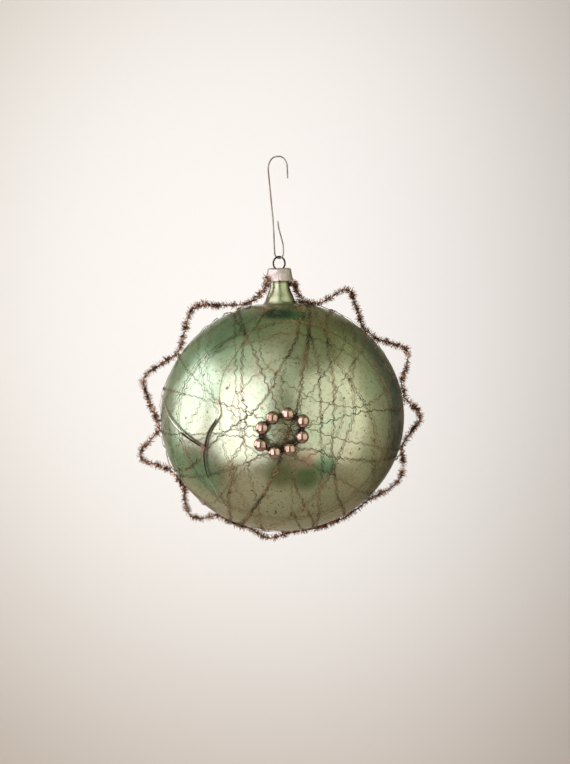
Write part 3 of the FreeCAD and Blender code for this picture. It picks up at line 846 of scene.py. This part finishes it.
def rounded_route(points, bend, step):
    """Straight runs between the points with a soft bend at each, in even steps."""
    line = [points[0]]
    for before, corner, after in zip(points, points[1:], points[2:]):
        back, ahead = before - corner, after - corner
        reach = min(bend, 0.48 * np.linalg.norm(back), 0.48 * np.linalg.norm(ahead))
        start, end = corner + unit(back) * reach, corner + unit(ahead) * reach
        for t in np.linspace(0, 1, 9):
            line.append(start * (1 - t) ** 2 + corner * 2 * t * (1 - t) + end * t ** 2)
    line.append(points[-1])
    even = [line[0]]
    for a, b in zip(line, line[1:]):
        pieces = max(1, int(np.linalg.norm(b - a) / step))
        even.extend(a + (b - a) * i / pieces for i in range(1, pieces + 1))
    return np.array(even)


def tinsel():
    """Two twisted core wires, and between them flat tapered bristles of foil that the twist fans out."""
    places = TINSEL_START + [(x, 0.0, z) for x, z in TINSEL_STAR] + TINSEL_END
    route = rounded_route([np.array(place) * MM for place in places], TINSEL_BEND, TINSEL_STEP)
    wander = np.array([[noise.noise(Vector((i * 0.06, k * 9.0, 3.0))) for k in range(3)]
                       for i in range(len(route))])
    route = route + wander * TINSEL_WANDER
    size = np.array([HALF_WIDTH, HALF_WIDTH, HALF_HEIGHT]) + TINSEL_OFF_GLASS
    depth = np.linalg.norm(route / size, axis=1, keepdims=True)
    route = np.where((depth < 1) & (route[:, 2:] < TINSEL_NECK), route / depth, route)
    first, second = carried_frames(route)
    twist = np.arange(len(route)) * TWIST_PER_STEP
    parts = []
    for ply in range(2):
        phase = twist + ply * math.pi
        offset = first * np.cos(phase)[:, None] + second * np.sin(phase)[:, None]
        parts.append(tube(route + offset * TINSEL_CORE * 0.62, TINSEL_CORE * 0.6))
    dice = random.Random(41)
    vertices, faces = [], []
    for i in range(1, len(route) - 1):
        comb = i * TWIST_PER_STEP + noise.noise(Vector((i * 0.05, 0.5, 7.7))) * 4.0
        tuft = noise.noise(Vector((i * 0.25, 4.4, 1.1))) + 0.5 * noise.noise(Vector((i * 0.06, 8.0, 2.2)))
        dense = max(0.45, 0.9 + 1.4 * tuft)
        along = unit(route[i + 1] - route[i - 1])
        for strip in range(int(dense * BRISTLES_PER_STEP + dice.random())):
            around = comb + math.pi * (strip % 2) + dice.gauss(0, 0.75)
            out = first[i] * math.cos(around) + second[i] * math.sin(around)
            lean = dice.uniform(-0.8, 0.8)
            length = dice.choice(BRISTLE_LENGTHS) * MM * dice.uniform(0.85, 1.15)
            wide = dice.uniform(0.09, 0.17) * MM
            root = route[i] + along * dice.uniform(-0.15, 0.15) * MM
            tip = root + unit(out + along * lean) * length
            side = unit(np.cross(out, along) * math.cos(strip) + along * math.sin(strip))
            thick = unit(np.cross(out, side))
            base = len(vertices)
            for share, middle in ((1.0, root), (BRISTLE_TIP, tip)):
                vertices += [middle + side * wide * share, middle - side * wide * share,
                             middle + thick * wide * 0.5 * share]
            for k in range(3):
                faces.append((base + k, base + (k + 1) % 3, base + 3 + (k + 1) % 3, base + 3 + k))
            faces += [(base + 2, base + 1, base), (base + 3, base + 4, base + 5)]
    parts.append((vertices, faces))
    return join_parts(parts)


add_piece("tinsel_fringe", *tinsel(), TINSEL, "tinsel", ["tinsel_garland"], smooth=False)


# ---------------------------------------------------------------- the lametta strands
RIBBON_LIFT = 0.7 * MM
FOIL_THICKNESS = 0.05 * MM


def ribbon(points, widths, turns):
    """A thin flat strand along points of the front, rolled about its own length as it goes.
    widths (in millimetres) and turns (in degrees) are spread evenly from its first point to its last."""
    line = smooth_line([front_point(right, above, RIBBON_LIFT) for right, above in points], 0.3 * MM)
    outward = unit(line)
    along = tangents(line, False)
    across = np.cross(outward, along)
    share = np.linspace(0, 1, len(line))
    roll = np.radians(np.interp(share, np.linspace(0, 1, len(turns)), turns))[:, None]
    flat = across * np.cos(roll) + outward * np.sin(roll)
    face = np.cross(along, flat)
    width = np.interp(share, np.linspace(0, 1, len(widths)), widths)[:, None] * MM / 2
    thick = FOIL_THICKNESS
    curl = 0.24 * width
    corners = (line + flat * width + face * curl, line + face * thick, line - flat * width + face * curl,
               line - flat * width + face * (curl - thick), line - face * thick * 0.2,
               line + flat * width + face * (curl - thick))
    count = len(line)
    rings = np.stack(corners, axis=1).reshape(-1, 3)
    faces = grid_faces(count, 6)
    faces += [tuple(reversed(range(6))), tuple(range((count - 1) * 6, count * 6))]
    return [tuple(v) for v in rings], faces


LONG_STRAND = [(-5.7, 37.1), (-9.6, 31.9), (-15.3, 24.7), (-20.1, 17.3), (-21.4, 10.6), (-20.8, 4.9),
               (-22.1, 2.1), (-24.4, -1.5), (-26.0, -7.0), (-26.3, -10.6), (-25.8, -15.4),
               (-24.4, -19.4), (-22.1, -24.2), (-19.7, -29.3)]
LONG_WIDTHS = (0.3, 0.55, 0.5, 0.3, 0.3, 0.8, 0.85, 0.8, 0.5, 0.3)
LONG_TURNS = (20, 50, 60, 60, 50, 30, 10, 0, 10, 20, 20, 10)
SHORT_STRAND = [(-41.0, 8.9), (-38.2, 2.0), (-33.5, -2.8), (-27.3, -6.6)]
SHORT_WIDTHS = (0.5, 0.8, 0.9, 0.8)
SHORT_TURNS = (0, 5, 10, 5, 20)
add_piece("lametta_strand_long", *ribbon(LONG_STRAND, LONG_WIDTHS, LONG_TURNS),
          LAMETTA, "lametta", ["lametta_long"])
add_piece("lametta_strand_short", *ribbon(SHORT_STRAND, SHORT_WIDTHS, SHORT_TURNS),
          LAMETTA, "lametta", ["lametta_short"])


TIE_LIFT = 0.95 * MM
TIE_THREAD = 0.24 * MM
TAIL_THREAD = 0.13 * MM


def thread_knot():
    """A tight little knot of thread where the two strands are tied."""
    middle = np.array(KNOT_FOOT) * (1 + TIE_LIFT / KNOT_FOOT.length)
    outward = unit(middle)
    right = unit(np.cross([0, 0, 1.0], outward))
    up = np.cross(outward, right)
    points = []
    for angle in np.linspace(0, 2 * math.pi, 60, endpoint=False):
        ring = (0.55 + 0.28 * math.cos(3 * angle)) * MM
        across = right * ring * math.cos(2 * angle) * 0.85
        along = up * ring * math.sin(2 * angle) * 1.25
        points.append(middle + across + along + outward * 0.3 * MM * math.sin(3 * angle))
    parts = [tube(smooth_line(points, 0.15 * MM, closed=True), TIE_THREAD, closed=True)]
    for sideways, down in ((0.5, -1.9), (-0.4, -1.5)):
        bend = middle + right * sideways * MM * 0.4 - up * 0.9 * MM
        end = middle + right * sideways * MM + up * down * MM
        parts.append(tube(smooth_line([middle, bend, end], 0.2 * MM), TAIL_THREAD))
    return join_parts(parts)


add_piece("strand_tie", *thread_knot(), KNOT_THREAD, "knot_thread", ["strand_knot"])


# ---------------------------------------------------------------- backdrop, floor and light
FLOOR = CENTRE.z - 0.70
WALL = 1.15
WALL_TOP = FLOOR + 2.2
SWEEP_FRONT = -1.8
SWEEP_BEND = 0.35
SWEEP_HALF_WIDTH = 2.2
SEEN_GAP = 0.002
SURROUND_FLOOR = FLOOR + 0.01


def camera_only(shell):
    """Hide a stage object from every ray but the camera's."""
    for ray in ("diffuse", "glossy", "transmission", "shadow", "volume_scatter"):
        setattr(shell, "visible_" + ray, False)


def sweep(name, gap, faded):
    """A pale floor that curves up into a wall behind the object; the faded one thins out at its sides."""
    section = [(SWEEP_FRONT, FLOOR)]
    for angle in np.linspace(0, math.pi / 2, 14):
        section.append((WALL - SWEEP_BEND + SWEEP_BEND * math.sin(angle),
                        FLOOR + SWEEP_BEND - SWEEP_BEND * math.cos(angle)))
    section.append((WALL, WALL_TOP))
    sides = (-SWEEP_HALF_WIDTH, SWEEP_HALF_WIDTH)
    vertices = [(x, y - gap, z + gap) for y, z in section for x in sides]
    faces = [(2 * i, 2 * i + 1, 2 * i + 3, 2 * i + 2) for i in range(len(section) - 1)]
    paper = Nodes("backdrop_paper")
    behind_ball = (0.0, WALL, CENTRE.z)
    # The paper is painted pale behind the ball and darker and warmer away from it: a painted pool of light.
    glow = paper.near(behind_ball, 0.62)
    colour = paper.mix(glow, (0.53, 0.45, 0.395), (0.90, 0.90, 0.90))
    colour = paper.mix(paper.ramp(paper.noise(900.0, 2.0), 0.3, 0.7, 0.0, 0.03), colour, (0.6, 0.55, 0.5))
    if faded:
        paper.plug(paper.shader.inputs["Alpha"], paper.ramp(paper.near(behind_ball, 0.85), 0.1, 0.75))
    return new_object(name, vertices, faces, paper.finish(colour, 0.9, 0.0))


# the whole sweep lights the glass unseen, and a copy just before it is what the camera sees
backdrop = sweep("backdrop", 0.0, False)
backdrop.visible_camera = False
backdrop_seen = sweep("backdrop_seen", SEEN_GAP, True)
camera_only(backdrop_seen)


def surround():
    """A plain pale studio all round, floor and all, that only the camera sees and the glass does not."""
    section = [(0.0, SURROUND_FLOOR), (1.6, SURROUND_FLOOR)]
    section += [(1.6 + math.sin(a), SURROUND_FLOOR + 1.0 - math.cos(a))
                for a in np.linspace(0.2, math.pi / 2, 8)]
    section += [(2.6, 2.0), (0.0, 2.4)]
    vertices, faces = lathe(section, 48)
    pale = Nodes("pale_studio")
    pale.shader.inputs["Emission Color"].default_value = (0.78, 0.76, 0.73, 1.0)
    pale.shader.inputs["Emission Strength"].default_value = 1.0
    shell = new_object("pale_surround", vertices, faces, pale.finish((0.0, 0.0, 0.0), 1.0, 0.0))
    camera_only(shell)
    return shell


surround()


def softbox(name, direction, distance, wide, high, radiance, colour, target=CENTRE):
    """A rectangular area light. Its direction from the ball is (degrees right of the camera, degrees up)."""
    turn, rise = (math.radians(a) for a in direction)
    way = Vector((math.sin(turn) * math.cos(rise), -math.cos(turn) * math.cos(rise), math.sin(rise)))
    data = bpy.data.lights.new(name, "AREA")
    data.shape = "RECTANGLE"
    data.size, data.size_y = wide, high
    data.energy = radiance * math.pi * wide * high
    data.color = colour
    light = bpy.data.objects.new(name, data)
    bpy.context.scene.collection.objects.link(light)
    light.location = CENTRE + way * distance
    light.rotation_euler = (target - light.location).to_track_quat("-Z", "Y").to_euler()
    light.visible_camera = False


softbox("key_front_left", (-41, 4), 0.60, 0.62, 1.08, 2.0, (1.0, 0.93, 1.0))
softbox("key_side_left", (-97, 13), 0.60, 0.46, 0.64, 2.15, (1.0, 0.92, 1.0))
softbox("fill_right", (48, 3), 0.60, 0.80, 1.12, 0.88, (1.0, 0.94, 0.88))
softbox("edge_right", (104, 3), 0.60, 0.80, 1.30, 0.17, (1.0, 0.95, 0.66))
softbox("edge_left", (-130, -5), 0.60, 0.56, 1.20, 0.14, (1.0, 1.0, 0.82))
softbox("top_left", (-45, 62), 0.70, 0.80, 0.32, 0.45, (1.0, 1.0, 0.95))
on_the_wall = CENTRE + Vector((0.02, 1.0, 0.02))
softbox("wall_glow", (180, 0), 0.42, 0.25, 0.25, 18.2, (0.97, 0.96, 1.0), on_the_wall)


def flag(name, direction, distance, wide, high):
    """A black card with soft edges, which the camera doesn't see, that darkens one edge of the glass."""
    turn = math.radians(direction)
    way = Vector((math.sin(turn), -math.cos(turn), 0.0))
    side = Vector((-way.y, way.x, 0.0)) * wide / 2
    middle = CENTRE + way * distance
    rise = Vector((0, 0, high / 2))
    corners = [middle - side - rise, middle + side - rise, middle + side + rise, middle - side + rise]
    black = Nodes("black_card")
    black.plug(black.shader.inputs["Alpha"], black.near(tuple(middle), wide / 2))
    card = new_object(name, corners, [(0, 1, 2, 3)], black.finish((0.01, 0.01, 0.01), 0.9, 0.0))
    card.visible_camera = False


flag("flag_right", 133, 0.62, 1.3, 1.5)

world = bpy.data.worlds.new("studio")
bpy.context.scene.world = world
world.use_nodes = True
sky = world.node_tree.nodes["Background"]
sky.inputs["Color"].default_value = (0.225, 0.212, 0.112, 1.0)
sky.inputs["Strength"].default_value = 1.0

# ---------------------------------------------------------------- camera
CAMERA_RISE = math.radians(4.2)
CAMERA_ROLL = math.radians(1.25)
VIEW_HEIGHT = 263.6 * MM
AIM_ABOVE = 11.83 * MM
AIM_RIGHT = 0.86 * MM
LENS, SENSOR = 120.0, 36.0
camera_data = bpy.data.cameras.new("camera")
camera_data.lens = LENS
camera_data.sensor_width = SENSOR
camera_data.clip_start, camera_data.clip_end = 0.01, 10.0
camera = bpy.data.objects.new("camera", camera_data)
bpy.context.scene.collection.objects.link(camera)
bpy.context.scene.camera = camera
camera_distance = VIEW_HEIGHT * LENS / SENSOR
towards_camera = Vector((0, -math.cos(CAMERA_RISE), math.sin(CAMERA_RISE)))
facing = (-towards_camera).to_track_quat("-Z", "Y").to_matrix()
right, up = facing.col[0], facing.col[1]
camera_right = right * math.cos(CAMERA_ROLL) - up * math.sin(CAMERA_ROLL)
camera_up = up * math.cos(CAMERA_ROLL) + right * math.sin(CAMERA_ROLL)
aim = CENTRE + camera_up * AIM_ABOVE + camera_right * AIM_RIGHT
turned = facing.copy()
turned.col[0], turned.col[1] = camera_right, camera_up
camera.matrix_world = turned.to_4x4()
camera.location = aim + towards_camera * camera_distance
bpy.context.scene.view_settings.view_transform = "Standard"
